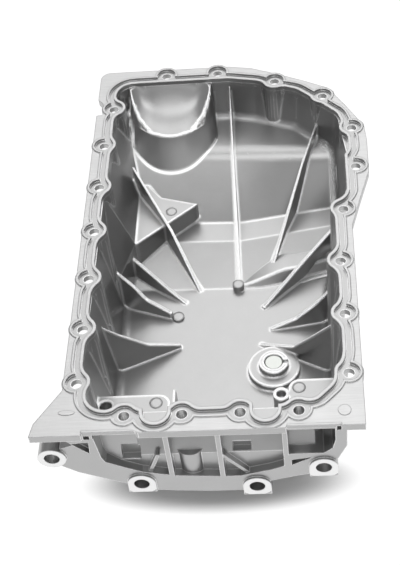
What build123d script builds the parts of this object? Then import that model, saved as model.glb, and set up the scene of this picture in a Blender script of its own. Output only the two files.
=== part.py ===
"""Cast aluminium engine oil pan with its drain plug and sealing washer.

X runs across the engine, Y along it from the gearbox face to the timing end, and Z up.
Heights are written as depths below the deck, the machined face that meets the engine block.
"""

from build123d import *
import os
from math import cos, hypot, radians, sin

# Casting as a whole
pan_height = 105.0
wall = 5.0
wall_draft = 5.5
column_draft = 0.8
envelope_gap = 0.6
envelope_corner = 20.0
toe_radius = 7.0
near_reach = -60.0
far_reach = 490.0

# Deck flange and its sealing groove
flange_thickness = 8.0
land_step = 1.0
inner_lip = 2.8
groove_width = 4.6
groove_depth = 2.6
outer_lip = 2.0
ring_radius = 8.5
rim_radius = 11.4
bolt_hole = 8.5
flange_corner = 9.0

# Deck bolts
side_bolt_pitch = 54.75
side_bolt_count = 6
side_bolt_x = -105.0
side_bolt_start = 46.2
near_bolt_pitch = 43.9
near_bolt_count = 4
near_bolt_y = 13.8
bolt_column = 11.2
corner_bolt = (-99.6, 371.0)
right_bolts = [(104.5, 47.2), (104.2, 106.5), (103.3, 163.5), (108.3, 223.5)]
far_right_bolts = [(120.2, 327.1), (95.5, 373.4), (51.4, 398.8)]
clear_bolts = [(121.5, 276.0), (-2.8, 415.7), (-51.8, 415.6)]

# Inside edge of the deck, and the two round recesses in its near side
cavity_left = -101.3
cavity_right = 100.7
cavity_near = 18.6
cavity_far = 405.5
recess_centres = [(-42.2, 15.4), (41.0, 14.8)]
recess_radius = 9.4
recess_mouth = 8.0
recess_depth = 4.5
wave_blend = 16.0
edge_blend = 9.0

# Sump floor: distances of its breaks from the gearbox face, at three stations across the pan
shelf_depth = 44.5
sump_depth = pan_height - wall
tread_depth = sump_depth - 16.0
stations = (-125.0, 15.0, 125.0)
sump_end = (229.0, 226.0, 243.0)
ramp_end = (276.0, 271.0, 290.0)
tread_end = (301.0, 294.0, 312.0)
shelf_start = (362.0, 350.5, 340.0)
crown_radius = 27.0
tread_rise = 0.5
floor_lag = 0.33

# Raised floors inside the pan, as plan outlines and the depth of their tops
pad_edge = [
    (-130.0, 345.0),
    (-81.0, 341.0),
    (-58.5, 312.0),
    (-24.3, 301.0),
    (-78.5, 253.0),
    (-130.0, 250.0),
]
pad_depth = 63.0
dome_centre = (-48.0, 400.5)
dome_radius = 40.5
dome_depth = 30.0
dome_top = 2.0
dome_drop = 73.0
dome_lean = 27.0
dish_radius = 70.0
dish_y = 363.0
swell_edge = [(-150.0, 205.0), (-93.0, 205.0), (-80.0, 253.0), (-80.0, 460.0), (-150.0, 460.0)]
swell_depth = 63.0
swell_lean = 19.2
left_ledge_end = (-38.0, 68.0)
left_ledge_depth = 48.0
right_ledge_end = (57.0, 80.0)
right_ledge_depth = 50.0
ledge_corner = 9.0
ledge_hole = 10.5
ledge_hole_place = (-90.0, 58.0)
ledge_hole_depth = 14.0
ledge_boss_radius = 9.0
post_place = (51.0, 66.0)
post_radius = 6.5
post_hole = 8.0
post_hole_depth = 10.0

# Stiffening fins, each from a start to an end in plan with (distance, depth) along its crest
fin_base = 3.8
fin_draft = 0.9
fins = [
    ((-22.0, 224.0), (-86.0, 330.0), [(0.0, 100.0), (48.0, 61.0), (119.0, 34.0)]),
    ((-34.5, 210.5), (-88.0, 247.0), [(0.0, 100.0), (21.0, 91.0), (44.0, 79.0), (70.0, 66.0)]),
    ((12.5, 231.5), (8.0, 408.0), [(0.0, 96.0), (62.0, 66.0), (118.0, 40.0), (176.0, 9.0)]),
    ((43.0, 247.0), (92.0, 372.0), [(0.0, 93.0), (22.0, 80.0), (86.0, 42.0), (129.0, 26.0)]),
    ((34.0, 201.0), (102.0, 267.6), [(0.0, 98.6), (22.0, 91.0), (49.0, 81.0), (95.0, 66.0)]),
    ((40.5, 175.5), (96.0, 184.8), [(0.0, 98.0), (23.0, 90.0), (40.0, 76.0), (56.0, 58.0)]),
    ((31.0, 160.0), (96.0, 125.3), [(0.0, 100.0), (34.0, 86.0), (53.0, 62.0), (73.0, 36.0)]),
    ((-47.0, 194.0), (-94.0, 211.3), [(0.0, 93.0), (23.7, 82.4), (34.2, 68.4), (50.0, 54.0)]),
    ((-34.0, 162.0), (-100.0, 132.3), [(5.0, 96.0), (34.0, 80.0), (57.0, 55.0), (72.0, 36.0)]),
    ((-35.5, 60.0), (-35.5, 77.0), [(0.0, 50.0), (14.0, 50.0), (17.0, 60.0)]),
]

# Gearbox face: a plate with lugs, a framed window and ribs, as (distance across, depth)
face_y = -2.0
face_thickness = 8.0
lug_y = -4.0
lug_end = 12.0
lug_radius = 11.0
lug_hole = 12.2
lugs = [(-123.9, 30.0), (-59.4, 67.5), (30.3, 75.5), (82.5, 52.7)]
face_edge = [
    (-116.0, 0.0),
    (-115.7, 4.0),
    (-106.0, 15.4),
    (-116.7, 20.0),
    (-112.5, 31.0),
    (-120.5, 41.0),
    (-107.0, 51.5),
    (-88.0, 61.0),
    (-70.0, 70.0),
    (-48.0, 79.0),
    (-33.0, 81.0),
    (-7.5, 83.0),
    (18.7, 83.0),
    (42.0, 71.0),
    (61.0, 65.6),
    (71.6, 63.0),
    (93.7, 44.0),
    (100.7, 27.0),
    (101.0, 0.0),
]
window_edge = [
    (-89.3, 4.0),
    (-86.3, 33.4),
    (-83.9, 39.1),
    (-71.3, 46.5),
    (-57.0, 54.0),
    (-32.0, 60.1),
    (3.0, 63.0),
    (19.0, 62.9),
    (42.0, 56.2),
    (52.0, 52.0),
    (57.0, 36.0),
    (83.0, 36.0),
    (89.7, 29.9),
    (92.0, 20.0),
    (92.0, 4.0),
]
web_thickness = 4.5
frame_end = 26.0
rib_thickness = 4.0
rib_places = [-34.8, 4.5, 54.5]
stays = [((-43.5, 36.0), (-53.0, 61.0)), ((6.0, 38.0), (24.0, 62.0))]
stay_thickness = 3.0
bulkhead_ends = (-92.0, -58.5, 77.0)
bulkhead_breaks = (45.5, 40.0)
bulkhead_y = 4.5
window_floor = 67.0
bulkhead_top = 22.0
bay_relief = 4.0
bay_edge = [(-89.3, -2.0), (-89.3, 6.0), (-56.0, 6.0), (-56.0, -3.5), (-61.0, -2.0)]
pockets = [
    [(-106.6, 14.2), (-93.2, 12.7), (-94.5, 27.3)],
    [(-96.2, 4.8), (-91.6, 4.8), (-91.6, 9.1), (-96.2, 9.1)],
    [(93.4, 2.5), (96.6, 2.5), (96.6, 7.0), (93.4, 7.0)],
    [(58.2, 44.0), (74.8, 41.0), (58.3, 50.5)],
]
pocket_depth = 4.5
bulkhead_recesses = [((-64.5, 38.5), (15.0, 12.0)), ((21.0, 35.5), (14.0, 7.0))]
bulkhead_recess_end = 10.3
spout_centre = (-19.0, 11.5)
spout_radius = 11.0
spout_top = 37.0

# Drain boss, plug and washer
drain_centre = (43.5, 129.0)
drain_base_radius = 23.0
drain_base_rise = 6.5
drain_neck_radius = 13.0
drain_neck_rise = 6.5
drain_draft = 5.0
neck_slot = 3.5
plug_diameter = 16.0
plug_play = 0.15
plug_head_radius = 13.0
plug_head_height = 4.5
plug_socket = 8.0
plug_socket_depth = 7.0
plug_end_gap = 1.0
plug_chamfer = 1.0
washer_thickness = 1.5
washer_radius = 12.0
spotface_radius = 17.0
spotface_depth = 6.5

side_bolts = [(side_bolt_x, side_bolt_start + side_bolt_pitch * i) for i in range(side_bolt_count)]
near_start = -near_bolt_pitch * (near_bolt_count - 1) / 2
near_bolts = [(near_start + near_bolt_pitch * i, near_bolt_y) for i in range(near_bolt_count)]
all_bolts = side_bolts + near_bolts + right_bolts + far_right_bolts + [corner_bolt] + clear_bolts

inside_edge = [
    (cavity_left, cavity_near),
    (74.0, cavity_near),
    (97.0, 43.0),
    (cavity_right, 68.0),
    (cavity_right, 222.0),
    (112.3, 244.0),
    (112.3, 290.0),
    (116.3, 297.0),
    (116.3, 318.0),
    (108.0, 347.0),
    (88.0, 368.0),
    (72.0, 384.0),
    (33.0, 400.0),
    (8.0, cavity_far),
    (cavity_left + 3.0, cavity_far),
    (cavity_left + 3.0, 265.0),
    (cavity_left, 265.0),
]
envelope_edge = [
    (cavity_left, cavity_near),
    (78.0, cavity_near),
    (cavity_right, 52.0),
    (cavity_right, 214.0),
    (117.5, 268.0),
    (108.0, 347.0),
    (72.0, 384.0),
    (33.0, 400.0),
    (8.0, cavity_far),
    (cavity_left + 1.5, cavity_far),
]
flange_edge = [
    (-136.8, -4.0),
    (-134.5, 8.0),
    (-115.3, 39.0),
    (-115.3, 362.0),
    (-109.5, 363.0),
    (-109.0, 368.0),
    (-109.8, 377.5),
    (-115.3, 385.0),
    (-115.3, 424.3),
    (8.0, 423.5),
    (30.0, 419.0),
    (52.0, 409.5),
    (80.0, 395.5),
    (101.0, 383.7),
    (116.0, 357.5),
    (131.5, 328.0),
    (133.0, 308.0),
    (132.5, 268.0),
    (123.6, 236.0),
    (115.0, 203.0),
    (114.7, -2.0),
    (97.0, -2.0),
    (97.0, 0.0),
    (57.0, 0.0),
    (56.0, -3.0),
    (-54.0, -3.0),
    (-60.5, 0.0),
    (-97.0, 0.0),
    (-97.0, -4.0),
]


def below(depth):
    """Level plane at a depth below the deck."""
    return Plane.XY.offset(pan_height - depth)


def upright(distance):
    """Upright plane across the pan, on which Y counts downward from the deck."""
    return Plane(origin=(0, distance, pan_height), x_dir=(1, 0, 0), z_dir=(0, 1, 0))


# Inside edge of the deck: straight runs that bulge inward round each bolt
with BuildSketch(Plane.XY) as cavity_edge:
    with BuildLine():
        Polyline(*inside_edge, close=True)
    make_face()
    with Locations(*side_bolts, *right_bolts):
        Circle(bolt_column, mode=Mode.SUBTRACT)
    offset(amount=-wave_blend, kind=Kind.ARC, mode=Mode.REPLACE)
    offset(amount=wave_blend, kind=Kind.ARC, mode=Mode.REPLACE)
    with Locations(*near_bolts, *far_right_bolts, corner_bolt):
        Circle(bolt_column, mode=Mode.SUBTRACT)
    offset(amount=-edge_blend, kind=Kind.ARC, mode=Mode.REPLACE)
    offset(amount=edge_blend, kind=Kind.ARC, mode=Mode.REPLACE)
    with Locations(*recess_centres):
        Circle(recess_radius)
        Rectangle(2 * recess_radius, recess_mouth, align=(Align.CENTER, Align.MIN))


def ground(skin):
    """Sump floor and its steps up to the far shelf, lowered by a skin."""
    with BuildPart() as slab:
        for i in range(len(stations)):
            with BuildSketch(Plane.YZ.offset(stations[i])):
                with BuildLine():
                    Polyline(
                        (near_reach, pan_height),
                        (near_reach, pan_height - sump_depth - skin),
                        (sump_end[i] + floor_lag * skin, pan_height - sump_depth - skin),
                        (ramp_end[i] + floor_lag * skin, pan_height - tread_depth - skin),
                        (tread_end[i] + floor_lag * skin, pan_height - tread_depth + tread_rise - skin),
                        (shelf_start[i] + floor_lag * skin, pan_height - shelf_depth - skin),
                        (far_reach, pan_height - shelf_depth - skin),
                        (far_reach, pan_height),
                        close=True,
                    )
                make_face()
        loft(ruled=True)
        shelf_top = pan_height - shelf_depth - skin
        level = slab.edges().filter_by_position(Axis.Z, shelf_top - 1, shelf_top + 1)
        crown = [e for e in level if e.center().Y < shelf_start[0] + wall and abs(e.tangent_at(0.5).X) > 0.5]
        fillet(crown, crown_radius - skin)
    return slab.part


def meets_floor(form, edge, steepest=0.4):
    """Whether an edge lies where the floor of a form turns up into one of its sides."""
    beside = [face for face in form.faces() if any(edge.is_same(other) for other in face.edges())]
    slopes = sorted(face.normal_at().Z for face in beside)
    return slopes[0] < -steepest and abs(slopes[-1]) < steepest


def raised_floors(skin):
    """Dome, pad and ledges that stand above the sump floor, shrunk by a skin."""
    lean = sin(radians(dome_lean)) / cos(radians(dome_lean))
    dome_y = dome_centre[1] + lean * (dome_depth - dome_top)
    leaning = Plane(origin=(dome_centre[0], dome_y, pan_height - dome_top), z_dir=(0, 0, 1))
    with BuildPart() as steps:
        with BuildSketch(leaning):
            Circle(dome_radius - skin)
            Rectangle(pan_height, dome_radius - skin, align=(Align.MAX, Align.MIN))
        extrude(amount=dome_drop, dir=(0, -lean, -1))
        with Locations((dome_centre[0], dish_y, pan_height - dome_depth + dish_radius)):
            Sphere(dish_radius + skin, mode=Mode.SUBTRACT)
        with BuildSketch(below(swell_depth)) as swell_plan:
            with BuildLine():
                Polyline(*swell_edge, close=True)
            make_face()
            offset(amount=-skin, kind=Kind.INTERSECTION)
        extrude(amount=swell_depth, taper=swell_lean)
        extrude(swell_plan.sketch, amount=-swell_depth)
        with BuildSketch(below(pad_depth + skin)):
            with BuildLine():
                Polyline(*pad_edge, close=True)
            make_face()
            offset(amount=-skin, kind=Kind.INTERSECTION)
        extrude(amount=-pan_height)
        with BuildSketch(below(left_ledge_depth + skin)):
            with Locations((left_ledge_end[0] - skin, left_ledge_end[1] - skin)):
                RectangleRounded(2 * pan_height, 2 * pan_height, ledge_corner, align=(Align.MAX, Align.MAX))
        extrude(amount=-pan_height)
        with BuildSketch(below(right_ledge_depth + skin)):
            with Locations((right_ledge_end[0] + skin, right_ledge_end[1] - skin)):
                RectangleRounded(2 * pan_height, 2 * pan_height, ledge_corner, align=(Align.MIN, Align.MAX))
        extrude(amount=-pan_height)
    return steps.part


def bowl(skin):
    """Form of the pan grown outward by a skin: none for the hollow, the wall for the outside."""
    with BuildPart() as form:
        with BuildSketch(below(0)) as plan:
            with BuildLine():
                Polyline(*envelope_edge, close=True)
            make_face()
            offset(amount=envelope_gap + skin, kind=Kind.INTERSECTION)
            fillet(plan.vertices(), envelope_corner)
        extrude(amount=-sump_depth - wall - skin, taper=wall_draft)
        add(ground(skin), mode=Mode.INTERSECT)
        fillet([e for e in form.edges() if meets_floor(form, e)], toe_radius)
        add(raised_floors(skin), mode=Mode.SUBTRACT)
        with BuildSketch(below(0)) as waves:
            add(cavity_edge.sketch)
            offset(amount=skin, kind=Kind.ARC, mode=Mode.REPLACE)
        extrude(amount=-pan_height, taper=column_draft, mode=Mode.INTERSECT)
    return form.part


def fin(start, end, crest):
    """Tapered fin along a line in plan, trimmed to a crest of (distance, depth) points."""
    run = hypot(end[0] - start[0], end[1] - start[1])
    along = ((end[0] - start[0]) / run, (end[1] - start[1]) / run, 0)
    footing = Plane(origin=(start[0], start[1], 0), x_dir=along, z_dir=(0, 0, 1))
    side = Plane(origin=(start[0], start[1], pan_height), x_dir=along, z_dir=(along[1], -along[0], 0))
    with BuildPart() as rib:
        with BuildSketch(footing):
            Rectangle(crest[-1][0], fin_base, align=(Align.MIN, Align.CENTER))
        extrude(amount=pan_height, taper=fin_draft)
        with BuildSketch(side):
            with BuildLine():
                Polyline(
                    (crest[0][0], -pan_height),
                    *[(distance, -depth) for distance, depth in crest],
                    (crest[-1][0], -pan_height),
                    close=True,
                )
            make_face()
        extrude(amount=2 * fin_base, both=True, mode=Mode.INTERSECT)
    return rib.part


# Hollow of the pan, less the fins and the drain boss that stand in it
with BuildPart() as hollow:
    add(bowl(0))
    for start, end, crest in fins:
        add(fin(start, end, crest), mode=Mode.SUBTRACT)
    with BuildSketch(below(pan_height)):
        with Locations(drain_centre):
            Circle(drain_base_radius)
    extrude(amount=wall + drain_base_rise, taper=drain_draft, mode=Mode.SUBTRACT)
    with BuildSketch(below(sump_depth - drain_base_rise)):
        with Locations(drain_centre):
            Circle(drain_neck_radius)
    extrude(amount=drain_neck_rise, taper=drain_draft, mode=Mode.SUBTRACT)
    with BuildSketch(below(sump_depth - drain_base_rise - drain_neck_rise)):
        with Locations(drain_centre):
            Rectangle(drain_neck_radius + neck_slot, neck_slot, align=(Align.MIN, Align.CENTER))
    extrude(amount=-neck_slot)
    # Tapped boss beside the right-hand ledge
    with BuildSketch(below(pan_height)):
        with Locations(post_place):
            Circle(post_radius)
    extrude(amount=pan_height - right_ledge_depth, mode=Mode.SUBTRACT)

outside = bowl(wall)

with BuildSketch(Plane.XY) as face_area:
    with BuildLine():
        Polyline(*face_edge, close=True)
    make_face()

with BuildSketch(Plane.XY) as window:
    with BuildLine():
        Polyline(*window_edge, close=True)
    make_face()

with BuildSketch(Plane.XY) as ribs:
    with Locations(*[(x, 0) for x in rib_places]):
        Rectangle(rib_thickness, 2 * pan_height)
    add(face_area.sketch, mode=Mode.INTERSECT)

with BuildSketch(Plane.XY) as stays_area:
    for start, end in stays:
        SlotCenterPoint(((start[0] + end[0]) / 2, (start[1] + end[1]) / 2), end, stay_thickness)
    add(window.sketch, mode=Mode.INTERSECT)

with BuildSketch(Plane.XY) as web:
    add(window.sketch)
    offset(amount=web_thickness, kind=Kind.INTERSECTION, mode=Mode.REPLACE)
    add(face_area.sketch, mode=Mode.INTERSECT)
    add(window.sketch, mode=Mode.SUBTRACT)

with BuildSketch(Plane.XY) as rim:
    with BuildLine():
        Polyline(*flange_edge, close=True)
    make_face()
    fillet(rim.vertices().sort_by(Axis.Y)[-2:].sort_by(Axis.X)[0], flange_corner)
    with Locations(*all_bolts):
        Circle(rim_radius)

with BuildSketch(Plane.XY) as sealed:
    add(cavity_edge.sketch)
    offset(amount=inner_lip + groove_width + outer_lip, kind=Kind.ARC, mode=Mode.REPLACE)
    with Locations(*all_bolts):
        Circle(ring_radius + outer_lip)

with BuildSketch(Plane.XY) as groove:
    add(cavity_edge.sketch)
    offset(amount=inner_lip + groove_width, kind=Kind.ARC, mode=Mode.REPLACE)
    with Locations(*all_bolts):
        Circle(ring_radius)
    with BuildSketch(mode=Mode.PRIVATE) as lip:
        add(cavity_edge.sketch)
        offset(amount=inner_lip, kind=Kind.ARC, mode=Mode.REPLACE)
    add(lip.sketch, mode=Mode.SUBTRACT)

with BuildPart() as oil_pan:
    # Gearbox face with the web round its window
    with BuildSketch(upright(face_y)):
        add(face_area.sketch)
        add(window.sketch, mode=Mode.SUBTRACT)
    extrude(amount=face_thickness)
    with BuildSketch(upright(face_y)):
        add(web.sketch)
    extrude(amount=frame_end - face_y)
    # Bulkhead behind the window in two steps, with the hollow under it
    for i, break_depth in enumerate(bulkhead_breaks):
        span = bulkhead_ends[i + 1] - bulkhead_ends[i]
        with BuildSketch(Plane.YZ.offset(bulkhead_ends[i])):
            with BuildLine():
                Polyline(
                    (frame_end, pan_height - window_floor),
                    (bulkhead_y, pan_height - window_floor),
                    (bulkhead_y, pan_height - break_depth),
                    (near_bolt_y, pan_height - bulkhead_top),
                    (frame_end, pan_height - bulkhead_top),
                    close=True,
                )
            make_face()
        extrude(amount=span)
        with BuildSketch(Plane.YZ.offset(bulkhead_ends[i] + wall / 2)):
            with BuildLine():
                Polyline(
                    (frame_end, 0),
                    (bulkhead_y + wall, 0),
                    (bulkhead_y + wall, pan_height - break_depth - wall),
                    (near_bolt_y + wall, pan_height - bulkhead_top - 2 * wall),
                    (frame_end, pan_height - bulkhead_top - 2 * wall),
                    close=True,
                )
            make_face()
        extrude(amount=span - wall, mode=Mode.SUBTRACT)
    with BuildSketch(below(spout_top)):
        with Locations(spout_centre):
            Circle(spout_radius)
    extrude(amount=spout_top - window_floor)
    with BuildSketch(upright(face_y)):
        add(ribs.sketch)
    extrude(amount=frame_end - face_y)
    with BuildSketch(upright(0)):
        add(stays_area.sketch)
    extrude(amount=frame_end)
    with BuildSketch(upright(lug_y)):
        with Locations(*lugs):
            Circle(lug_radius)
        with Locations(*lugs[1:]):
            Rectangle(2 * lug_radius, lug_radius, align=(Align.CENTER, Align.MIN))
    extrude(amount=lug_end - lug_y)
    # Deck flange, walls and floor, then the hollow of the pan
    with BuildSketch(below(0)):
        add(rim.sketch)
    extrude(amount=-flange_thickness)
    add(outside)
    with BuildSketch(below(left_ledge_depth)):
        with Locations(ledge_hole_place):
            Circle(ledge_boss_radius)
    extrude(amount=-ledge_hole_depth - wall)
    add(hollow.part, mode=Mode.SUBTRACT)
    with BuildSketch(below(0)):
        add(cavity_edge.sketch)
    extrude(amount=-recess_depth, mode=Mode.SUBTRACT)
    # Blind tapped holes in the ledge and in the boss beside the other ledge
    with BuildSketch(below(left_ledge_depth)):
        with Locations(ledge_hole_place):
            Circle(ledge_hole / 2)
    extrude(amount=-ledge_hole_depth, mode=Mode.SUBTRACT)
    with BuildSketch(below(right_ledge_depth)):
        with Locations(post_place):
            Circle(post_hole / 2)
    extrude(amount=-post_hole_depth, mode=Mode.SUBTRACT)
    # Land and sealing groove milled into the deck, with its bolt holes
    with BuildSketch(below(0)):
        add(rim.sketch)
        add(sealed.sketch, mode=Mode.SUBTRACT)
    extrude(amount=-land_step, mode=Mode.SUBTRACT)
    with BuildSketch(below(0)):
        add(groove.sketch)
    extrude(amount=-groove_depth, mode=Mode.SUBTRACT)
    with BuildSketch(below(0)):
        with Locations(*all_bolts):
            Circle(bolt_hole / 2)
    extrude(amount=-2 * flange_thickness, mode=Mode.SUBTRACT)
    # Blind pockets in the gearbox face and in the bulkhead behind its window
    with BuildSketch(upright(face_y)):
        for corners in pockets:
            with BuildLine():
                Polyline(*corners, close=True)
            make_face()
    extrude(amount=pocket_depth, mode=Mode.SUBTRACT)
    with BuildSketch(upright(0)):
        for centre, size in bulkhead_recesses:
            with Locations(centre):
                Rectangle(*size)
    extrude(amount=bulkhead_recess_end, mode=Mode.SUBTRACT)
    # Relief under the flange above the left end of the window
    with BuildSketch(below(bay_relief)):
        with BuildLine():
            Polyline(*bay_edge, close=True)
        make_face()
    extrude(amount=bay_relief - flange_thickness, mode=Mode.SUBTRACT)
    # Lug holes along the pan
    with BuildSketch(upright(lug_y)):
        with Locations(*lugs):
            Circle(lug_hole / 2)
    extrude(amount=lug_end - lug_y, mode=Mode.SUBTRACT)
    # Drain: spot face under the floor and the threaded hole up through the boss
    with BuildSketch(below(pan_height)):
        with Locations(drain_centre):
            Circle(spotface_radius)
    extrude(amount=spotface_depth, mode=Mode.SUBTRACT)
    with BuildSketch(below(pan_height)):
        with Locations(drain_centre):
            Circle(plug_diameter / 2 + plug_play)
    extrude(amount=pan_height, mode=Mode.SUBTRACT)
oil_pan.part.label = "oil_pan"

seat_depth = pan_height - spotface_depth
plug_end_depth = sump_depth - drain_base_rise - drain_neck_rise + plug_end_gap
with BuildPart() as drain_plug:
    with BuildSketch(below(seat_depth + washer_thickness)):
        with Locations(drain_centre):
            Circle(plug_head_radius)
    extrude(amount=-plug_head_height)
    chamfer(drain_plug.edges().group_by(Axis.Z)[0], plug_chamfer)
    with BuildSketch(below(seat_depth + washer_thickness)):
        with Locations(drain_centre):
            Circle(plug_diameter / 2)
    extrude(amount=seat_depth + washer_thickness - plug_end_depth)
    chamfer(drain_plug.edges().group_by(Axis.Z)[-1], plug_chamfer)
    with BuildSketch(below(seat_depth + washer_thickness + plug_head_height)):
        with Locations(drain_centre):
            RegularPolygon(plug_socket / 2, 4, major_radius=False)
    extrude(amount=plug_socket_depth, mode=Mode.SUBTRACT)
drain_plug.part.label = "drain_plug"

with BuildPart() as drain_plug_washer:
    with BuildSketch(below(seat_depth)):
        with Locations(drain_centre):
            Circle(washer_radius)
            Circle(plug_diameter / 2 + plug_play, mode=Mode.SUBTRACT)
    extrude(amount=-washer_thickness)
drain_plug_washer.part.label = "drain_plug_washer"

# Origin at the middle of the underside, below the middle of the deck
os.makedirs("parts", exist_ok=True)
extent = oil_pan.part.bounding_box()
middle = (-extent.center().X, -extent.center().Y, -extent.min.Z)
for piece in (oil_pan.part, drain_plug.part, drain_plug_washer.part):
    export_step(Pos(*middle) * piece, "parts/" + piece.label + ".step")
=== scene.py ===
"""Looks for a cast engine oil pan: as-cast and milled aluminium, drain plug, stage, lamps and camera."""

import math

import bmesh
import bpy
from bpy.props import FloatProperty, FloatVectorProperty, IntProperty, PointerProperty
from bpy.types import Operator, Panel, PropertyGroup
from mathutils import Matrix, Vector


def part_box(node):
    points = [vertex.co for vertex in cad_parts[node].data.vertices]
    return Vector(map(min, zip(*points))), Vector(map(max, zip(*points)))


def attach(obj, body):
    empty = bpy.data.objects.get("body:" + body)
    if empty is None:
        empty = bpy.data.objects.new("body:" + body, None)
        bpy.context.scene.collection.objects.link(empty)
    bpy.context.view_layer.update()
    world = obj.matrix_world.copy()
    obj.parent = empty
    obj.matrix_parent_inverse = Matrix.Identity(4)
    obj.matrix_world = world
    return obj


bl_info = {
    "name": "Cast oil pan",
    "version": (1, 0, 0),
    "blender": (4, 5, 0),
    "location": "3D View > Sidebar > Oil pan",
    "description": "Dresses a cast aluminium engine oil pan and sets it on a pale stage",
    "category": "Object",
}

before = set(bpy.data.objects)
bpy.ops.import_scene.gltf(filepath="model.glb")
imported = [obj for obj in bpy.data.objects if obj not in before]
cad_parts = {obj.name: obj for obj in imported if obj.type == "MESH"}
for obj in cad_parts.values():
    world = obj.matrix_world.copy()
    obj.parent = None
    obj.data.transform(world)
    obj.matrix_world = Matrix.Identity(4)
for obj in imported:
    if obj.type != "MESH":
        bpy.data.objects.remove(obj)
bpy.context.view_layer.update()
PAN_LOW, PAN_HIGH = [Vector(corner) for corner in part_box("oil_pan")]
MM = 0.001
DOWN = (0.0, 0.0, -1.0)
AWAY = (0.0, 1.0, 0.0)
WHITE = (1.0, 1.0, 1.0, 1.0)

# Milled faces: how deep they reach into the casting in millimetres, and how squarely they face
MILLED_DEPTH = 1.2
MILLED_FACING = 0.9

# Centres of the holes in the four lugs in millimetres: across and up
LUG_HOLES = ((-121.3, 77.0), (-58.0, 39.4), (31.6, 32.1), (83.7, 53.9))

# Where the soft creases of the inside begin in millimetres: below the deck and behind the lugs
INSIDE_BELOW = 14.0
INSIDE_BEHIND = 24.0

# Bend across a soft edge at which the painted edge highlight starts to show, and at which it shows in full
HIGHLIGHT_FROM, HIGHLIGHT_TO = 0.0025, 0.011

# How far an edge looks up when its shine starts to turn upwards, and when it turns in full
LIFTED_FROM, LIFTED_TO = 0.1, 0.5

# Painted highlight line at the foot of the dome in millimetres: centre, half widths, lowest, highest and
# farthest place
FOOT_CENTRE = (-45.5, 169.0)
FOOT_FADE, FOOT_SOLID = 2.0, 0.5
FOOT_LOW, FOOT_HIGH, FOOT_FAR = 40.0, 64.0, 158.0

# Raised marks in millimetres: where they stand, the height they are sought from, two radii and their rise
MARKS = (
    (13.8, 15.2, 60.0, 5.2, 5.2, 5.5),
    (-40.2, -17.4, 60.0, 5.4, 5.4, 1.7),
    (-47.3, -152.0, 90.0, 5.4, 5.4, 0.35),
    (67.2, -139.9, 90.0, 5.4, 5.4, 0.35),
    (-46.8, 81.1, 90.0, 5.2, 5.2, 0.35),
    (-108.0, -194.0, 110.0, 6.4, 2.4, 0.35),
    (101.5, -200.0, 110.0, 5.0, 5.0, 0.3),
)

# A mark that rises further than this, in millimetres, is a boss and stands upright
BOSS_RISE = 1.0

# Thickness of a skin laid over the casting, in millimetres
SKIN_DEPTH = 0.8

# Rim of the scoop in millimetres: its centre, its left end, how far inside it the dome is felt for, its lift
RIM_CENTRE = (-46.1, 188.95, 103.0)
RIM_LEFT = -86.2
RIM_INSET = 1.2
RIM_LIFT = 0.9

# How deep the foot and the lip of the scoop sink into the casting, in millimetres
FOOT_SINK, LIP_SINK = 1.0, 0.6

# Angles in degrees at which the scoop's rim starts, and through which it runs
RIM_START, RIM_SWEEP = 182, 172

# Places in millimetres from which the lip, the foot and the dish are felt for
LIP_LEFT, LIP_RUN = -84.0, 74.0
LIP_BEFORE, LIP_HEIGHT = 150.0, 102.0
FOOT_ABOVE = 100.0
DISH_ABOVE = 103.5

# Dish in millimetres: its least gap to the casting, the highest that gap lifts it, and its sides' sink
DISH_CLEAR = 0.5
DISH_TOP = 102.0
DISH_SIDE_SINK = 1.5

# How the scoop's rows crowd towards its upper edge, and how hollow its flank is
ROW_CROWDING = 1.3
FLANK_HOLLOW = 1.15

# Foot of the step in millimetres: across, away, and the reach of its face in the photo, along the floor
STEP = (
    (12.0, 16.0, 1.0),
    (21.0, 14.6, 5.0),
    (32.0, 14.2, 10.0),
    (44.0, 15.8, 14.5),
    (56.0, 18.8, 17.0),
    (68.6, 22.4, 15.9),
    (80.0, 26.2, 14.8),
    (97.0, 30.2, 15.4),
)

# Reach along the floor, from the photo's camera, of one unit of height
SIGHT_REACH = 0.909

# Casting under the step: height of the sump floor in millimetres, and the plane of the slope
SUMP_FLOOR = 5.0
SLOPE_START, SLOPE_AWAY, SLOPE_ACROSS = 0.84, 0.351, -0.053

# Toe of the step and the apron before it in millimetres: the toe's lift and run, the apron's run and dip
TOE_LIFT, TOE_RUN = 0.1, 2.8
APRON_RUN, APRON_DIP = 5.8, 0.4

# Top of the step in millimetres: how deep its back sinks into the slope, and its least run
BACK_SINK, TOP_RUN = 0.5, 0.5

# Contact shadow under the gearbox arch in metres: its place, half width and half depth, and its soft edge
SHADOW_PLACE = -0.19
SHADOW_WIDE, SHADOW_DEEP = 0.108, 0.03
SHADOW_FROM, SHADOW_TO = 0.3, 1.3

# Floor in metres, and the strength of the plain white that is seen on it
FLOOR_REACH = 6.0
FLOOR_WHITE = 1.1

# Camera of the photo: its place in metres, and its roll, tilt and yaw in degrees
CAMERA_PLACE = (0.08607, -0.77775, 0.88263)
CAMERA_TURN = (-8.1733, 47.3277, -7.6762)


class Value:
    """A shader socket that can be used in Python arithmetic."""

    def __init__(self, sheet, socket):
        self.sheet = sheet
        self.socket = socket

    def _with(self, operation, *terms):
        return self.sheet.maths(operation, *terms)

    def __add__(self, other):
        return self._with("ADD", self, other)

    def __radd__(self, other):
        return self._with("ADD", other, self)

    def __sub__(self, other):
        return self._with("SUBTRACT", self, other)

    def __rsub__(self, other):
        return self._with("SUBTRACT", other, self)

    def __mul__(self, other):
        return self._with("MULTIPLY", self, other)

    def __rmul__(self, other):
        return self._with("MULTIPLY", other, self)

    def __gt__(self, other):
        return self._with("GREATER_THAN", self, other)

    def __lt__(self, other):
        return self._with("LESS_THAN", self, other)


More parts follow.
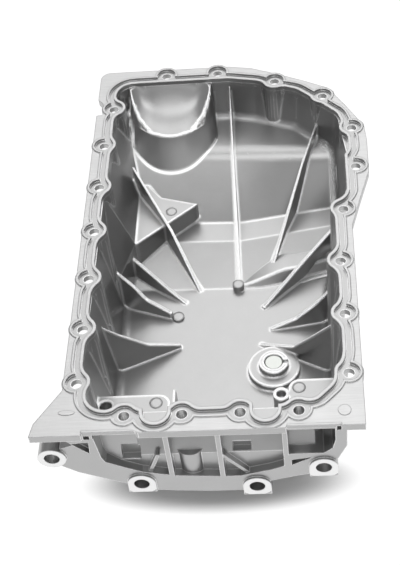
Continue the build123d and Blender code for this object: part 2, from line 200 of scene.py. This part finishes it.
class Placed:
    """A node on a sheet, with its outputs as values."""

    def __init__(self, sheet, node):
        self.sheet = sheet
        self.node = node

    def out(self, name=0):
        return Value(self.sheet, self.node.outputs[name])


class Sheet:
    """Node tree of a material or of the world, and the one way nodes are added to it."""

    def __init__(self, owner):
        owner.use_nodes = True
        self.owner = owner
        self.tree = owner.node_tree
        self.tree.nodes.clear()

    def node(self, kind, settings=None, *inputs, **named):
        placed = self.tree.nodes.new(kind)
        for key, setting in (settings or {}).items():
            if key == "stops":
                ramp = placed.color_ramp
                while len(ramp.elements) < len(setting):
                    ramp.elements.new(0.5)
                for element, (place, shade) in zip(ramp.elements, setting):
                    element.position = place
                    element.color = grey(shade)
            else:
                setattr(placed, key, setting)
        for index, term in enumerate(inputs):
            self.feed(placed.inputs[index], term)
        for key, term in named.items():
            self.feed(placed.inputs[key.replace("_", " ")], term)
        return Placed(self, placed)

    def feed(self, socket, term):
        if isinstance(term, Placed):
            term = term.out()
        if isinstance(term, Value):
            self.tree.links.new(term.socket, socket)
        elif term is not None:
            socket.default_value = term

    def maths(self, operation, *terms):
        return self.node("ShaderNodeMath", {"operation": operation}, *terms).out()

    def vector(self, operation, *terms, **named):
        """Vector Math node, of which distances and dot products come out at Value."""
        return self.node("ShaderNodeVectorMath", {"operation": operation}, *terms, **named)

    def split(self, vector):
        return self.node("ShaderNodeSeparateXYZ", None, vector)

    def smooth(self, value, start, end, low=0.0, high=1.0):
        """Smooth passage from low, where a value is at its start, to high at its end."""
        settings = {"interpolation_type": "SMOOTHSTEP"}
        return self.node("ShaderNodeMapRange", settings, value, start, end, low, high).out()

    def ramp(self, value, *stops):
        return self.node("ShaderNodeValToRGB", {"stops": stops}, value).out()

    def noise(self, place, scale, detail, **named):
        return self.node("ShaderNodeTexNoise", None, place, Scale=scale, Detail=detail, **named).out("Fac")

    def mix(self, factor, low, high):
        """Colour mix of two colours or colour sockets."""
        skipped = [None] * 5
        return self.node("ShaderNodeMix", {"data_type": "RGBA"}, factor, *skipped, low, high).out(2)

    def surface(self, shader, end="ShaderNodeOutputMaterial"):
        self.node(end, None, Surface=shader)
        return self.owner


def grey(level):
    return (level, level, level, 1.0)


class CastingSettings(PropertyGroup):
    """Finish of the casting and of its milled faces, with its painted highlights."""

    cast_shade: FloatProperty(
        name="Cast shade", description="Brightness of the as-cast skin", default=0.5, min=0, max=1
    )
    milled_shade: FloatProperty(
        name="Milled shade", description="Brightness of milled faces", default=0.66, min=0, max=1
    )
    cast_roughness: FloatProperty(
        name="Cast roughness", description="Roughness of the skin", default=0.33, min=0, max=1
    )
    milled_roughness: FloatProperty(
        name="Milled roughness", description="Roughness of milled faces", default=0.42, min=0, max=1
    )
    grain_size: FloatProperty(
        name="Grain size", description="Width of the blasted grain", default=0.9 * MM, unit="LENGTH"
    )
    # Lug faces painted near white: milled metal with a painted highlight on it
    lug_highlight_shade: FloatProperty(
        name="Lug shade", description="Brightness of the lug faces", default=0.95, min=0, max=1
    )
    lug_reach: FloatProperty(
        name="Lug reach",
        description="Reach of the milled face round a lug hole",
        default=14.5 * MM,
        unit="LENGTH",
    )
    # Colour of the painted highlight along edges and creases
    painted_highlight_shade: FloatProperty(
        name="Edge shade", description="Brightness of rubbed edges", default=0.95, min=0, max=1
    )
    # Radius of the painted highlight line at the dome's foot
    foot_highlight_radius: FloatProperty(
        name="Foot line",
        description="Radius of the bright line at the foot of the dome",
        default=42.7 * MM,
        unit="LENGTH",
    )
    edge_lift: FloatProperty(
        name="Edge lift",
        description="How far rubbed edges turn their shine upwards",
        default=0.75,
        min=0,
        max=1,
    )
    edge_radius: FloatProperty(
        name="Edge radius",
        description="Soft radius along the edges of the deck",
        default=1.0 * MM,
        unit="LENGTH",
    )
    crease_radius: FloatProperty(
        name="Crease radius",
        description="Soft radius along creases inside the pan",
        default=3.6 * MM,
        unit="LENGTH",
    )


class PlugSettings(PropertyGroup):
    """Colour of the plated drain plug and its washer."""

    plating: FloatVectorProperty(
        name="Plating", description="Colour of the zinc plating", default=(0.70, 0.72, 0.69), subtype="COLOR"
    )
    washer: FloatVectorProperty(
        name="Washer", description="Colour of the sealing washer", default=(0.70, 0.70, 0.69), subtype="COLOR"
    )


class MarkSettings(PropertyGroup):
    """Roundness and seat of the raised marks."""

    sides: IntProperty(name="Sides", description="Sides of each raised disc", default=40, min=8, max=128)
    sink: FloatProperty(
        name="Sink", description="Depth of each disc below the skin", default=1.5 * MM, unit="LENGTH"
    )


class ScoopSettings(PropertyGroup):
    """Size and fineness of the scoop in the far-left corner."""

    rim_radius: FloatProperty(
        name="Rim radius", description="Radius of the bright rim", default=41.2 * MM, unit="LENGTH"
    )
    foot_radius: FloatProperty(
        name="Foot radius",
        description="Radius where the flank meets the slope",
        default=43.0 * MM,
        unit="LENGTH",
    )
    columns: IntProperty(name="Columns", description="Steps round the scoop", default=72, min=12, max=200)
    rows: IntProperty(
        name="Rows", description="Steps down the scoop and down its flank", default=18, min=6, max=60
    )
    easing: IntProperty(
        name="Easing", description="Passes that smooth the scoop", default=12, min=0, max=400
    )


class StepSettings(PropertyGroup):
    """Form of the step that crosses the foot of the slope."""

    lean: FloatProperty(
        name="Lean", description="How far the face leans back for its height", default=0.95, min=0, max=3
    )
    fall: FloatProperty(
        name="Fall", description="How fast the top falls back to the slope", default=0.0, min=0, max=1
    )
    finely: IntProperty(
        name="Fineness", description="Steps between the given points", default=6, min=1, max=20
    )


class StageSettings(PropertyGroup):
    """Floor, lamps and camera."""

    floor_shade: FloatProperty(
        name="Floor shade", description="Brightness of the floor", default=0.9, min=0, max=1
    )
    floor_glow: FloatProperty(
        name="Floor glow", description="Share of plain white seen", default=0.96, min=0, max=1
    )
    shadow_glow: FloatProperty(
        name="Shadow glow",
        description="Share of plain white seen under the gearbox arch",
        default=0.05,
        min=0,
        max=1,
    )
    sky: FloatProperty(
        name="Sky", description="Strength of the even light round the pan", default=0.32, min=0
    )
    overhead: FloatProperty(
        name="Overhead lamp", description="Power of the overhead lamp", default=4.2, unit="POWER"
    )
    far_lamp: FloatProperty(
        name="Far lamp", description="Power of the lamp beyond the pan", default=8.4, unit="POWER"
    )
    crease_lamp: FloatProperty(
        name="Crease lamp",
        description="Power of the narrow lamp that lights the creases",
        default=3.5,
        unit="POWER",
    )
    front: FloatProperty(
        name="Front lamp", description="Power of the lamp above the camera", default=1.7, unit="POWER"
    )
    lens: FloatProperty(name="Lens", description="Focal length", default=82.68, subtype="DISTANCE_CAMERA")


def milled_faces(sheet, place, spot, lug_reach):
    """Masks of the milled lug faces, and of all milled faces."""
    facing = sheet.split(sheet.node("ShaderNodeNewGeometry").out("Normal"))
    deck = (spot.out("Z") > PAN_HIGH.z - MILLED_DEPTH * MM) * (facing.out("Z") > MILLED_FACING)
    near_lug = None
    for x, z in LUG_HOLES:
        close = sheet.vector("DISTANCE", place, (x * MM, PAN_LOW.y, z * MM)).out("Value") < lug_reach
        near_lug = close if near_lug is None else near_lug + close - near_lug * close
    front = (spot.out("Y") < PAN_LOW.y + MILLED_DEPTH * MM) * (facing.out("Y") < -MILLED_FACING)
    lugs = front * near_lug
    return lugs, sheet.maths("MAXIMUM", deck, lugs)


def soft_normal(sheet, spot, settings):
    """Normal that rounds the edges of the deck a little, and the creases inside the pan more."""
    below = spot.out("Z") < PAN_HIGH.z - INSIDE_BELOW * MM
    behind = spot.out("Y") > PAN_LOW.y + INSIDE_BEHIND * MM
    radius = settings.edge_radius + below * behind * (settings.crease_radius - settings.edge_radius)
    return sheet.node("ShaderNodeBevel", {"samples": 6}, radius).out()


def painted_edge_highlights(sheet, rounded):
    """Mask of the painted highlights along edges and creases, where the soft normal turns away from the
    face's own.
    """
    face = sheet.node("ShaderNodeNewGeometry").out("True Normal")
    turn = 1 - sheet.vector("DOT_PRODUCT", rounded, face).out("Value")
    return sheet.smooth(turn, HIGHLIGHT_FROM, HIGHLIGHT_TO)


def dome_foot_highlight(sheet, spot, radius):
    """Mask of the painted highlight line at the foot of the dome."""
    across, away = FOOT_CENTRE
    flat = sheet.node("ShaderNodeCombineXYZ", None, spot.out("X"), spot.out("Y"), 0.0).out()
    swing = sheet.vector("DISTANCE", flat, (across * MM, away * MM, 0.0)).out("Value")
    ring = sheet.smooth(sheet.maths("ABSOLUTE", swing - radius), FOOT_FADE * MM, FOOT_SOLID * MM)
    height = spot.out("Z")
    return ring * (height < FOOT_HIGH * MM) * (height > FOOT_LOW * MM) * (spot.out("Y") < FOOT_FAR * MM)


def lifted_normal(sheet, rounded, highlighted, share):
    """Soft normal whose edges with a painted highlight turn upwards where they look up."""
    lift = highlighted * sheet.smooth(sheet.split(rounded).out("Z"), LIFTED_FROM, LIFTED_TO) * share
    upward = sheet.node("ShaderNodeCombineXYZ", None, 0.0, 0.0, lift).out()
    level = sheet.vector("SCALE", rounded, Scale=1 - lift).out()
    return sheet.vector("NORMALIZE", sheet.vector("ADD", level, upward).out()).out()


def cast_colour(sheet, cloud, grain, shade):
    """Clouded skin with pale grains."""
    clouded = sheet.mix(sheet.ramp(cloud, (0.30, 0.0), (0.70, 1.0)), grey(shade * 0.93), grey(shade * 1.05))
    return sheet.mix(sheet.ramp(grain, (0.60, 0.0), (0.74, 0.35)), clouded, grey(shade * 1.25))


def milled_colour(sheet, place, shade):
    """Bright metal with faint streaks across the pan."""
    stretched = sheet.node("ShaderNodeMapping", None, place, Scale=(60.0, 900.0, 900.0)).out()
    streak = sheet.ramp(sheet.noise(stretched, 1.0, 2.0), (0.35, 0.0), (0.65, 1.0))
    return sheet.mix(streak, grey(shade * 0.96), grey(shade * 1.03))


def pan_material(settings, name, edges):
    """Blasted cast skin, with a milled deck, milled lug faces painted near white as a highlight, and edges
    and creases painted pale as a highlight, as strong as asked.
    """
    sheet = Sheet(bpy.data.materials.new(name))
    place = sheet.node("ShaderNodeTexCoord").out("Object")
    spot = sheet.split(place)
    lugs, milled = milled_faces(sheet, place, spot, settings.lug_reach)

    grain = sheet.noise(place, 1.0 / settings.grain_size, 3.0, Roughness=0.6)
    mottle = sheet.noise(place, 38.0, 4.0, Roughness=0.55)
    flow = sheet.noise(place, 9.0, 2.0, Distortion=1.4)
    cloud = mottle * 0.5 + flow * 0.5

    rounded = soft_normal(sheet, spot, settings)
    # Painted highlights: pale edges, creases and the dome's foot, where the soft normal turns
    painted_highlights = sheet.maths("MAXIMUM", painted_edge_highlights(sheet, rounded), dome_foot_highlight(sheet, spot, settings.foot_highlight_radius))
    highlighted = painted_highlights * (1 - milled) * edges
    eased = lifted_normal(sheet, rounded, highlighted, settings.edge_lift)

    skin = cast_colour(sheet, cloud, grain, settings.cast_shade)
    # Painted highlight: edges and creases take a pale colour
    skin = sheet.mix(highlighted, skin, grey(settings.painted_highlight_shade))
    skin = sheet.mix(milled, skin, milled_colour(sheet, place, settings.milled_shade))
    # Painted highlight: the milled lug faces turn near white
    colour = sheet.mix(lugs, skin, grey(settings.lug_highlight_shade))
    cast_rough = settings.cast_roughness + (cloud - 0.5) * 0.16
    roughness = cast_rough + milled * (settings.milled_roughness - settings.cast_roughness)

    depth = grain * (1 - milled * 0.85)
    pits = sheet.node("ShaderNodeBump", None, Strength=0.35, Distance=0.12 * MM, Height=depth, Normal=eased)
    waves = sheet.node("ShaderNodeBump", None, Strength=0.25, Distance=0.8 * MM, Height=mottle, Normal=pits)
    shader = sheet.node(
        "ShaderNodeBsdfPrincipled",
        None,
        Base_Color=colour,
        Metallic=0.85,
        Roughness=roughness,
        Normal=waves,
    )
    return sheet.surface(shader)


def plated_material(name, colour, roughness):
    """Thin plating with faint clouding and fine scratches."""
    sheet = Sheet(bpy.data.materials.new(name))
    place = sheet.node("ShaderNodeTexCoord").out("Object")
    cloud = sheet.noise(place, 160.0, 3.0)
    fine = sheet.noise(place, 1500.0, 2.0)
    light = tuple(min(1.0, part * 1.08) for part in colour) + (1.0,)
    dark = tuple(part * 0.9 for part in colour) + (1.0,)
    shader = sheet.node(
        "ShaderNodeBsdfPrincipled",
        None,
        Base_Color=sheet.mix(cloud, dark, light),
        Metallic=0.8,
        Roughness=roughness + (cloud - 0.5) * 0.15,
        Normal=sheet.node("ShaderNodeBump", None, Strength=0.2, Distance=0.05 * MM, Height=fine),
    )
    return sheet.surface(shader)


def dress(node, material):
    """Gives a node of the frame its finished material."""
    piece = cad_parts[node]
    piece.data.materials.clear()
    piece.data.materials.append(material)


class OILPAN_OT_casting(Operator):
    """Give the pan casting its blasted skin, milled faces and painted highlights"""

    bl_idname = "oilpan.casting"
    bl_label = "Finish the casting"

    def execute(self, context):
        # The casting takes its painted edge highlights in full
        dress("oil_pan", pan_material(context.scene.oilpan_casting, "cast_aluminium_skin", 1.0))
        return {"FINISHED"}


def probe(start, towards):
    """Where a line from start first meets the casting, and which way the skin faces there.

    A line that runs exactly along an edge of the mesh can miss it, so it is then tried a hair to the side.
    """
    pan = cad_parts["oil_pan"]
    back = pan.matrix_world.inverted()
    for nudge in (0.0, 0.03 * MM, -0.05 * MM):
        begin = Vector(start) + Vector((nudge, nudge, 0.0))
        met, place, facing, _ = pan.ray_cast(back @ begin, back.to_3x3() @ Vector(towards))
        if met:
            return pan.matrix_world @ place, (pan.matrix_world.to_3x3() @ facing).normalized()
    raise RuntimeError(f"no casting in the way of a probe from {tuple(start)} towards {tuple(towards)}")


def new_piece(name, data):
    """New object at the origin, so that a mesh keeps its place in itself."""
    piece = bpy.data.objects.new(name, data)
    bpy.context.scene.collection.objects.link(piece)
    return piece


def settle(piece):
    """Ties a finished piece to the casting."""
    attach(piece, "root")


def close_skin(mesh):
    """Gives an open skin a thin underside, with its faces pointing outwards."""
    form = bmesh.new()
    form.from_mesh(mesh)
    bmesh.ops.solidify(form, geom=form.faces[:], thickness=SKIN_DEPTH * MM)
    bmesh.ops.recalc_face_normals(form, faces=form.faces[:])
    form.to_mesh(mesh)
    form.free()


def skin_piece(name, lines, smooth):
    """Lays a closed skin over lines that all have as many points, in the casting's finish."""
    wide = len(lines[0])
    faces = []
    for row in range(len(lines) - 1):
        for index in range(wide - 1):
            low = row * wide + index
            faces.append((low, low + wide, low + wide + 1, low + 1))
    mesh = bpy.data.meshes.new(name)
    mesh.from_pydata([point for line in lines for point in line], [], faces)
    close_skin(mesh)
    if smooth:
        mesh.shade_smooth()
    mesh.materials.append(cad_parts["oil_pan"].data.materials[0])
    settle(new_piece(name, mesh))


def marks_tree():
    """Geometry nodes that raise a disc on every point, along the skin's own direction."""
    tree = bpy.data.node_groups.new("Raised marks", "GeometryNodeTree")
    tree.interface.new_socket(name="Geometry", in_out="INPUT", socket_type="NodeSocketGeometry")
    sides = tree.interface.new_socket(name="Sides", in_out="INPUT", socket_type="NodeSocketInt")
    finish = tree.interface.new_socket(name="Finish", in_out="INPUT", socket_type="NodeSocketMaterial")
    tree.interface.new_socket(name="Geometry", in_out="OUTPUT", socket_type="NodeSocketGeometry")

    def node(kind, **settings):
        placed = tree.nodes.new(kind)
        for key, setting in settings.items():
            setattr(placed, key, setting)
        return placed

    def stored(name):
        named = node("GeometryNodeInputNamedAttribute", data_type="FLOAT_VECTOR")
        named.inputs["Name"].default_value = name
        return next(socket for socket in named.outputs if socket.enabled and socket.name == "Attribute")

    start = node("NodeGroupInput")
    disc = node("GeometryNodeMeshCylinder")
    disc.inputs["Radius"].default_value = 1.0
    disc.inputs["Depth"].default_value = 1.0
    turn = node("FunctionNodeAlignRotationToVector", axis="Z")
    spread = node("GeometryNodeInstanceOnPoints")
    real = node("GeometryNodeRealizeInstances")
    coat = node("GeometryNodeSetMaterial")
    end = node("NodeGroupOutput")
    link = tree.links.new
    link(start.outputs["Geometry"], spread.inputs["Points"])
    link(start.outputs["Sides"], disc.inputs["Vertices"])
    link(disc.outputs["Mesh"], spread.inputs["Instance"])
    link(stored("facing"), turn.inputs["Vector"])
    link(turn.outputs["Rotation"], spread.inputs["Rotation"])
    link(stored("span"), spread.inputs["Scale"])
    link(spread.outputs["Instances"], real.inputs["Geometry"])
    link(real.outputs["Geometry"], coat.inputs["Geometry"])
    link(start.outputs["Finish"], coat.inputs["Material"])
    link(coat.outputs["Geometry"], end.inputs["Geometry"])
    return tree, sides.identifier, finish.identifier


class OILPAN_OT_marks(Operator):
    """Raise the ejector marks and the small bosses on the casting"""

    bl_idname = "oilpan.marks"
    bl_label = "Raise the marks"

    def execute(self, context):
        settings = context.scene.oilpan_marks
        mesh = bpy.data.meshes.new("raised_marks")
        mesh.from_pydata([(x * MM, y * MM, 0.0) for x, y, *_ in MARKS], [], [])
        facings = mesh.attributes.new("facing", "FLOAT_VECTOR", "POINT")
        spans = mesh.attributes.new("span", "FLOAT_VECTOR", "POINT")
        for index, (x, y, start, wide, deep, rise) in enumerate(MARKS):
            place, facing = probe((x * MM, y * MM, start * MM), DOWN)
            if rise > BOSS_RISE:
                facing = Vector((0.0, 0.0, 1.0))
            mesh.vertices[index].co = place + facing * (rise * MM - settings.sink) / 2
            facings.data[index].vector = facing
            spans.data[index].vector = (wide * MM, deep * MM, rise * MM + settings.sink)
        piece = new_piece("raised_marks", mesh)
        tree, sides, finish = marks_tree()
        grow = piece.modifiers.new("Raised marks", "NODES")
        grow.node_group = tree
        grow[sides] = settings.sides
        # The marks take only a faint painted edge highlight
        grow[finish] = pan_material(context.scene.oilpan_casting, "cast_marks_skin", 0.12)
        shown = piece.evaluated_get(context.evaluated_depsgraph_get())
        plain = bpy.data.meshes.new_from_object(shown)
        piece.modifiers.clear()
        piece.data = plain
        settle(piece)
        return {"FINISHED"}


def between(start, end, out, down):
    """Point between two others, by its share of their distance in plan and of their drop."""
    return Vector(
        (
            start.x + (end.x - start.x) * out,
            start.y + (end.y - start.y) * out,
            start.z + (end.z - start.z) * down,
        )
    )


def scoop_edges(settings):
    """Lip, rim and foot of the scoop for each of its columns."""
    edges = []
    for index in range(settings.columns + 1):
        part = index / settings.columns
        turn = math.radians(RIM_START + RIM_SWEEP * part)
        arm = Vector((math.cos(turn), math.sin(turn), 0.0))
        rim = Vector(RIM_CENTRE) * MM + arm * settings.rim_radius
        rim.x = max(rim.x, RIM_LEFT * MM)
        rim.z = probe(rim - arm * RIM_INSET * MM, DOWN)[0].z + RIM_LIFT * MM
        foot = Vector((*FOOT_CENTRE, FOOT_ABOVE)) * MM + arm * settings.foot_radius
        foot.z = probe(foot, DOWN)[0].z - FOOT_SINK * MM
        lip, _ = probe(((LIP_LEFT + LIP_RUN * part) * MM, LIP_BEFORE * MM, LIP_HEIGHT * MM), AWAY)
        lip.y += LIP_SINK * MM
        edges.append((lip, rim, foot))
    return edges


def dish_lines(edges, rows):
    """Lines of the dish from its lip to its rim."""
    lines = []
    for row in range(rows + 1):
        out = (row / rows) ** ROW_CROWDING
        down = 1 - (1 - out) ** 2
        lines.append([between(lip, rim, out, down) for lip, rim, _ in edges])
    return lines


def ease_dish(lines, passes):
    """Smooths the dish clear of the casting, and sinks its sides into the casting."""
    last_row = len(lines) - 1
    last_column = len(lines[0]) - 1
    skins = [
        [probe((point.x, point.y, DISH_ABOVE * MM), DOWN)[0].z + DISH_CLEAR * MM for point in line]
        for line in lines
    ]
    for _ in range(passes):
        for row in range(1, last_row):
            for index in range(1, last_column):
                rows_beside = (lines[row - 1][index], lines[row + 1][index])
                columns_beside = (lines[row][index - 1], lines[row][index + 1])
                eased = sum(point.z for point in (*rows_beside, *columns_beside)) / 4
                lines[row][index].z = max(eased, min(skins[row][index], DISH_TOP * MM))
    for side in (0, last_column):
        for row in range(1, last_row + 1):
            lines[row][side].z = min(lines[row][side].z, skins[row][side]) - DISH_SIDE_SINK * MM


def flank_lines(rim_line, edges, rows):
    """Lines of the flank below the rim, down to its foot."""
    lines = []
    for row in range(1, rows + 1):
        down = (row / rows) ** ROW_CROWDING
        out = down**FLANK_HOLLOW
        lines.append([between(rim, foot, out, down) for rim, (_, _, foot) in zip(rim_line, edges)])
    return lines


class OILPAN_OT_scoop(Operator):
    """Lay the smooth scoop in the far-left corner over the dome"""

    bl_idname = "oilpan.scoop"
    bl_label = "Lay the scoop"

    def execute(self, context):
        settings = context.scene.oilpan_scoop
        edges = scoop_edges(settings)
        dish = dish_lines(edges, settings.rows)
        ease_dish(dish, settings.easing)
        skin_piece("far_scoop", dish + flank_lines(dish[-1], edges, settings.rows), smooth=True)
        return {"FINISHED"}


def curve_point(p, q, r, t, part):
    """Number on an even curve from q to r, with p before them and t after them."""
    rise = (r - p) * part
    bend = (2 * p - 5 * q + 4 * r - t) * part**2
    twist = (3 * q - p - 3 * r + t) * part**3
    return 0.5 * (2 * q + rise + bend + twist)


def smooth_run(points, finely):
    """Points of an even curve through the given ones."""
    padded = [points[0], *points, points[-1]]
    run = []
    for index in range(len(points) - 1):
        for step in range(finely):
            part = step / finely
            run.append(tuple(curve_point(*near, part) for near in zip(*padded[index : index + 4])))
    return [*run, points[-1]]


def slope_height(x, y):
    """Height of the slope in millimetres."""
    return SLOPE_START + SLOPE_AWAY * y + SLOPE_ACROSS * x


class OILPAN_OT_step(Operator):
    """Lay the step that crosses the foot of the slope"""

    bl_idname = "oilpan.step"
    bl_label = "Lay the step"

    def execute(self, context):
        settings = context.scene.oilpan_step
        lines = []
        for x, y, reach in smooth_run(STEP, settings.finely):
            rise = reach / (settings.lean + SIGHT_REACH)
            floor = max(SUMP_FLOOR, slope_height(x, y)) + TOE_LIFT
            edge, top = y + rise * settings.lean, floor + rise
            run = max(TOP_RUN, (top - slope_height(x, edge) + BACK_SINK) / (SLOPE_AWAY + settings.fall))
            side = (
                (y - APRON_RUN, floor - APRON_DIP),
                (y - TOE_RUN, floor),
                (y, floor),
                (edge, top),
                (edge + run, top - settings.fall * run),
            )
            lines.append([(x * MM, away * MM, height * MM) for away, height in side])
        skin_piece("slope_step", lines, smooth=False)
        return {"FINISHED"}


class OILPAN_OT_plug(Operator):
    """Plate the drain plug and finish its washer"""

    bl_idname = "oilpan.plug"
    bl_label = "Finish the drain plug"

    def execute(self, context):
        settings = context.scene.oilpan_plug
        dress("drain_plug", plated_material("zinc_plating", tuple(settings.plating), 0.36))
        dress("drain_plug_washer", plated_material("soft_washer", tuple(settings.washer), 0.45))
        return {"FINISHED"}


def pale_floor(settings):
    """Floor seen as plain white, with a dark contact shadow under the gearbox arch."""
    mesh = bpy.data.meshes.new("floor")
    corners = [(x * FLOOR_REACH, y * FLOOR_REACH, 0) for x, y in ((-1, -1), (1, -1), (1, 1), (-1, 1))]
    mesh.from_pydata(corners, [], [(0, 1, 2, 3)])
    sheet = Sheet(bpy.data.materials.new("pale_floor"))
    seen = sheet.node("ShaderNodeLightPath")
    shine = sheet.maths("MAXIMUM", seen.out("Is Camera Ray"), seen.out("Is Glossy Ray"))
    spot = sheet.split(sheet.node("ShaderNodeTexCoord").out("Object"))
    across = spot.out("X") * (1 / SHADOW_WIDE)
    along = (spot.out("Y") - SHADOW_PLACE) * (1 / SHADOW_DEEP)
    off = across * across + along * along
    share = sheet.smooth(off, SHADOW_FROM, SHADOW_TO, settings.shadow_glow, settings.floor_glow)
    card = sheet.node("ShaderNodeBsdfDiffuse", None, grey(settings.floor_shade))
    glow = sheet.node("ShaderNodeEmission", None, WHITE, FLOOR_WHITE)
    mesh.materials.append(sheet.surface(sheet.node("ShaderNodeMixShader", None, shine * share, card, glow)))
    return new_piece("floor", mesh)


def studio_world(sky):
    """Even light round the pan, seen as plain white by the camera."""
    sheet = Sheet(bpy.data.worlds.new("studio"))
    seen = sheet.node("ShaderNodeLightPath").out("Is Camera Ray")
    strength = sheet.node("ShaderNodeMapRange", None, Value=seen, To_Min=sky, To_Max=1.0)
    return sheet.surface(sheet.node("ShaderNodeBackground", None, WHITE, strength), "ShaderNodeOutputWorld")


def area_lamp(name, place, size, power):
    """Rectangular soft lamp that shines from a place towards the origin."""
    lamp = bpy.data.lights.new(name, "AREA")
    lamp.shape = "RECTANGLE"
    lamp.size, lamp.size_y = size
    lamp.energy = power
    holder = new_piece(name, lamp)
    direction = Vector((0.0, 0.0, 0.0)) - Vector(place)
    holder.rotation_euler = direction.to_track_quat("-Z", "Y").to_euler()
    holder.location = place


def turned(roll, tilt, yaw):
    """Camera axes from its roll, its downward tilt and its yaw, in degrees."""
    level = Matrix(((1, 0, 0), (0, 0, -1), (0, 1, 0)))
    spin = Matrix.Rotation(math.radians(yaw), 3, "Z")
    nod = Matrix.Rotation(math.radians(tilt), 3, "X")
    bank = Matrix.Rotation(math.radians(roll), 3, "Z")
    seen = bank @ nod @ level @ spin
    return Matrix((seen[0], -seen[1], -seen[2])).transposed()


def photo_camera(focal_length):
    """Camera from which the pan is seen as in the photo."""
    lens = bpy.data.cameras.new("photo_camera")
    lens.lens = focal_length
    lens.sensor_width = 36.0
    lens.clip_end = 50.0
    camera = new_piece("photo_camera", lens)
    camera.matrix_world = Matrix.Translation(CAMERA_PLACE) @ turned(*CAMERA_TURN).to_4x4()
    return camera


class OILPAN_OT_stage(Operator):
    """Lay the floor, hang the lamps and place the camera"""

    bl_idname = "oilpan.stage"
    bl_label = "Set the stage"

    def execute(self, context):
        settings = context.scene.oilpan_stage
        scene = context.scene
        pale_floor(settings)
        scene.world = studio_world(settings.sky)
        area_lamp("far_lamp", (0.0, 1.6, 1.6), (1.6, 1.2), settings.far_lamp)
        area_lamp("crease_lamp", (0.0, 0.75, 1.8), (1.6, 0.3), settings.crease_lamp)
        area_lamp("overhead_lamp", (0.0, -0.12, 1.7), (1.2, 0.5), settings.overhead)
        area_lamp("front_lamp", (0.1, -1.5, 1.5), (1.2, 0.8), settings.front)
        scene.camera = photo_camera(settings.lens)
        scene.view_settings.view_transform = "Standard"
        return {"FINISHED"}


# Each group of settings with the operator that uses it, in the order of the panel
GROUPS = (
    ("oilpan_casting", CastingSettings, OILPAN_OT_casting),
    ("oilpan_marks", MarkSettings, OILPAN_OT_marks),
    ("oilpan_scoop", ScoopSettings, OILPAN_OT_scoop),
    ("oilpan_step", StepSettings, OILPAN_OT_step),
    ("oilpan_plug", PlugSettings, OILPAN_OT_plug),
    ("oilpan_stage", StageSettings, OILPAN_OT_stage),
)


class OILPAN_PT_panel(Panel):
    """Lists the pieces of the oil pan"""

    bl_label = "Oil pan"
    bl_idname = "OILPAN_PT_panel"
    bl_space_type = "VIEW_3D"
    bl_region_type = "UI"
    bl_category = "Oil pan"

    def draw(self, context):
        for group, _, operator in GROUPS:
            settings = getattr(context.scene, group)
            box = self.layout.box()
            for name in settings.bl_rna.properties.keys():
                if name not in ("name", "rna_type"):
                    box.prop(settings, name)
            box.operator(operator.bl_idname)


def register():
    for group, settings, operator in GROUPS:
        bpy.utils.register_class(settings)
        bpy.utils.register_class(operator)
        setattr(bpy.types.Scene, group, PointerProperty(type=settings))
    bpy.utils.register_class(OILPAN_PT_panel)


def unregister():
    bpy.utils.unregister_class(OILPAN_PT_panel)
    for group, settings, operator in reversed(GROUPS):
        delattr(bpy.types.Scene, group)
        bpy.utils.unregister_class(operator)
        bpy.utils.unregister_class(settings)


def main():
    register()
    bpy.ops.oilpan.stage()
    bpy.ops.oilpan.casting()
    bpy.ops.oilpan.marks()
    bpy.ops.oilpan.scoop()
    bpy.ops.oilpan.step()
    bpy.ops.oilpan.plug()


if __name__ == "__main__":
    main()
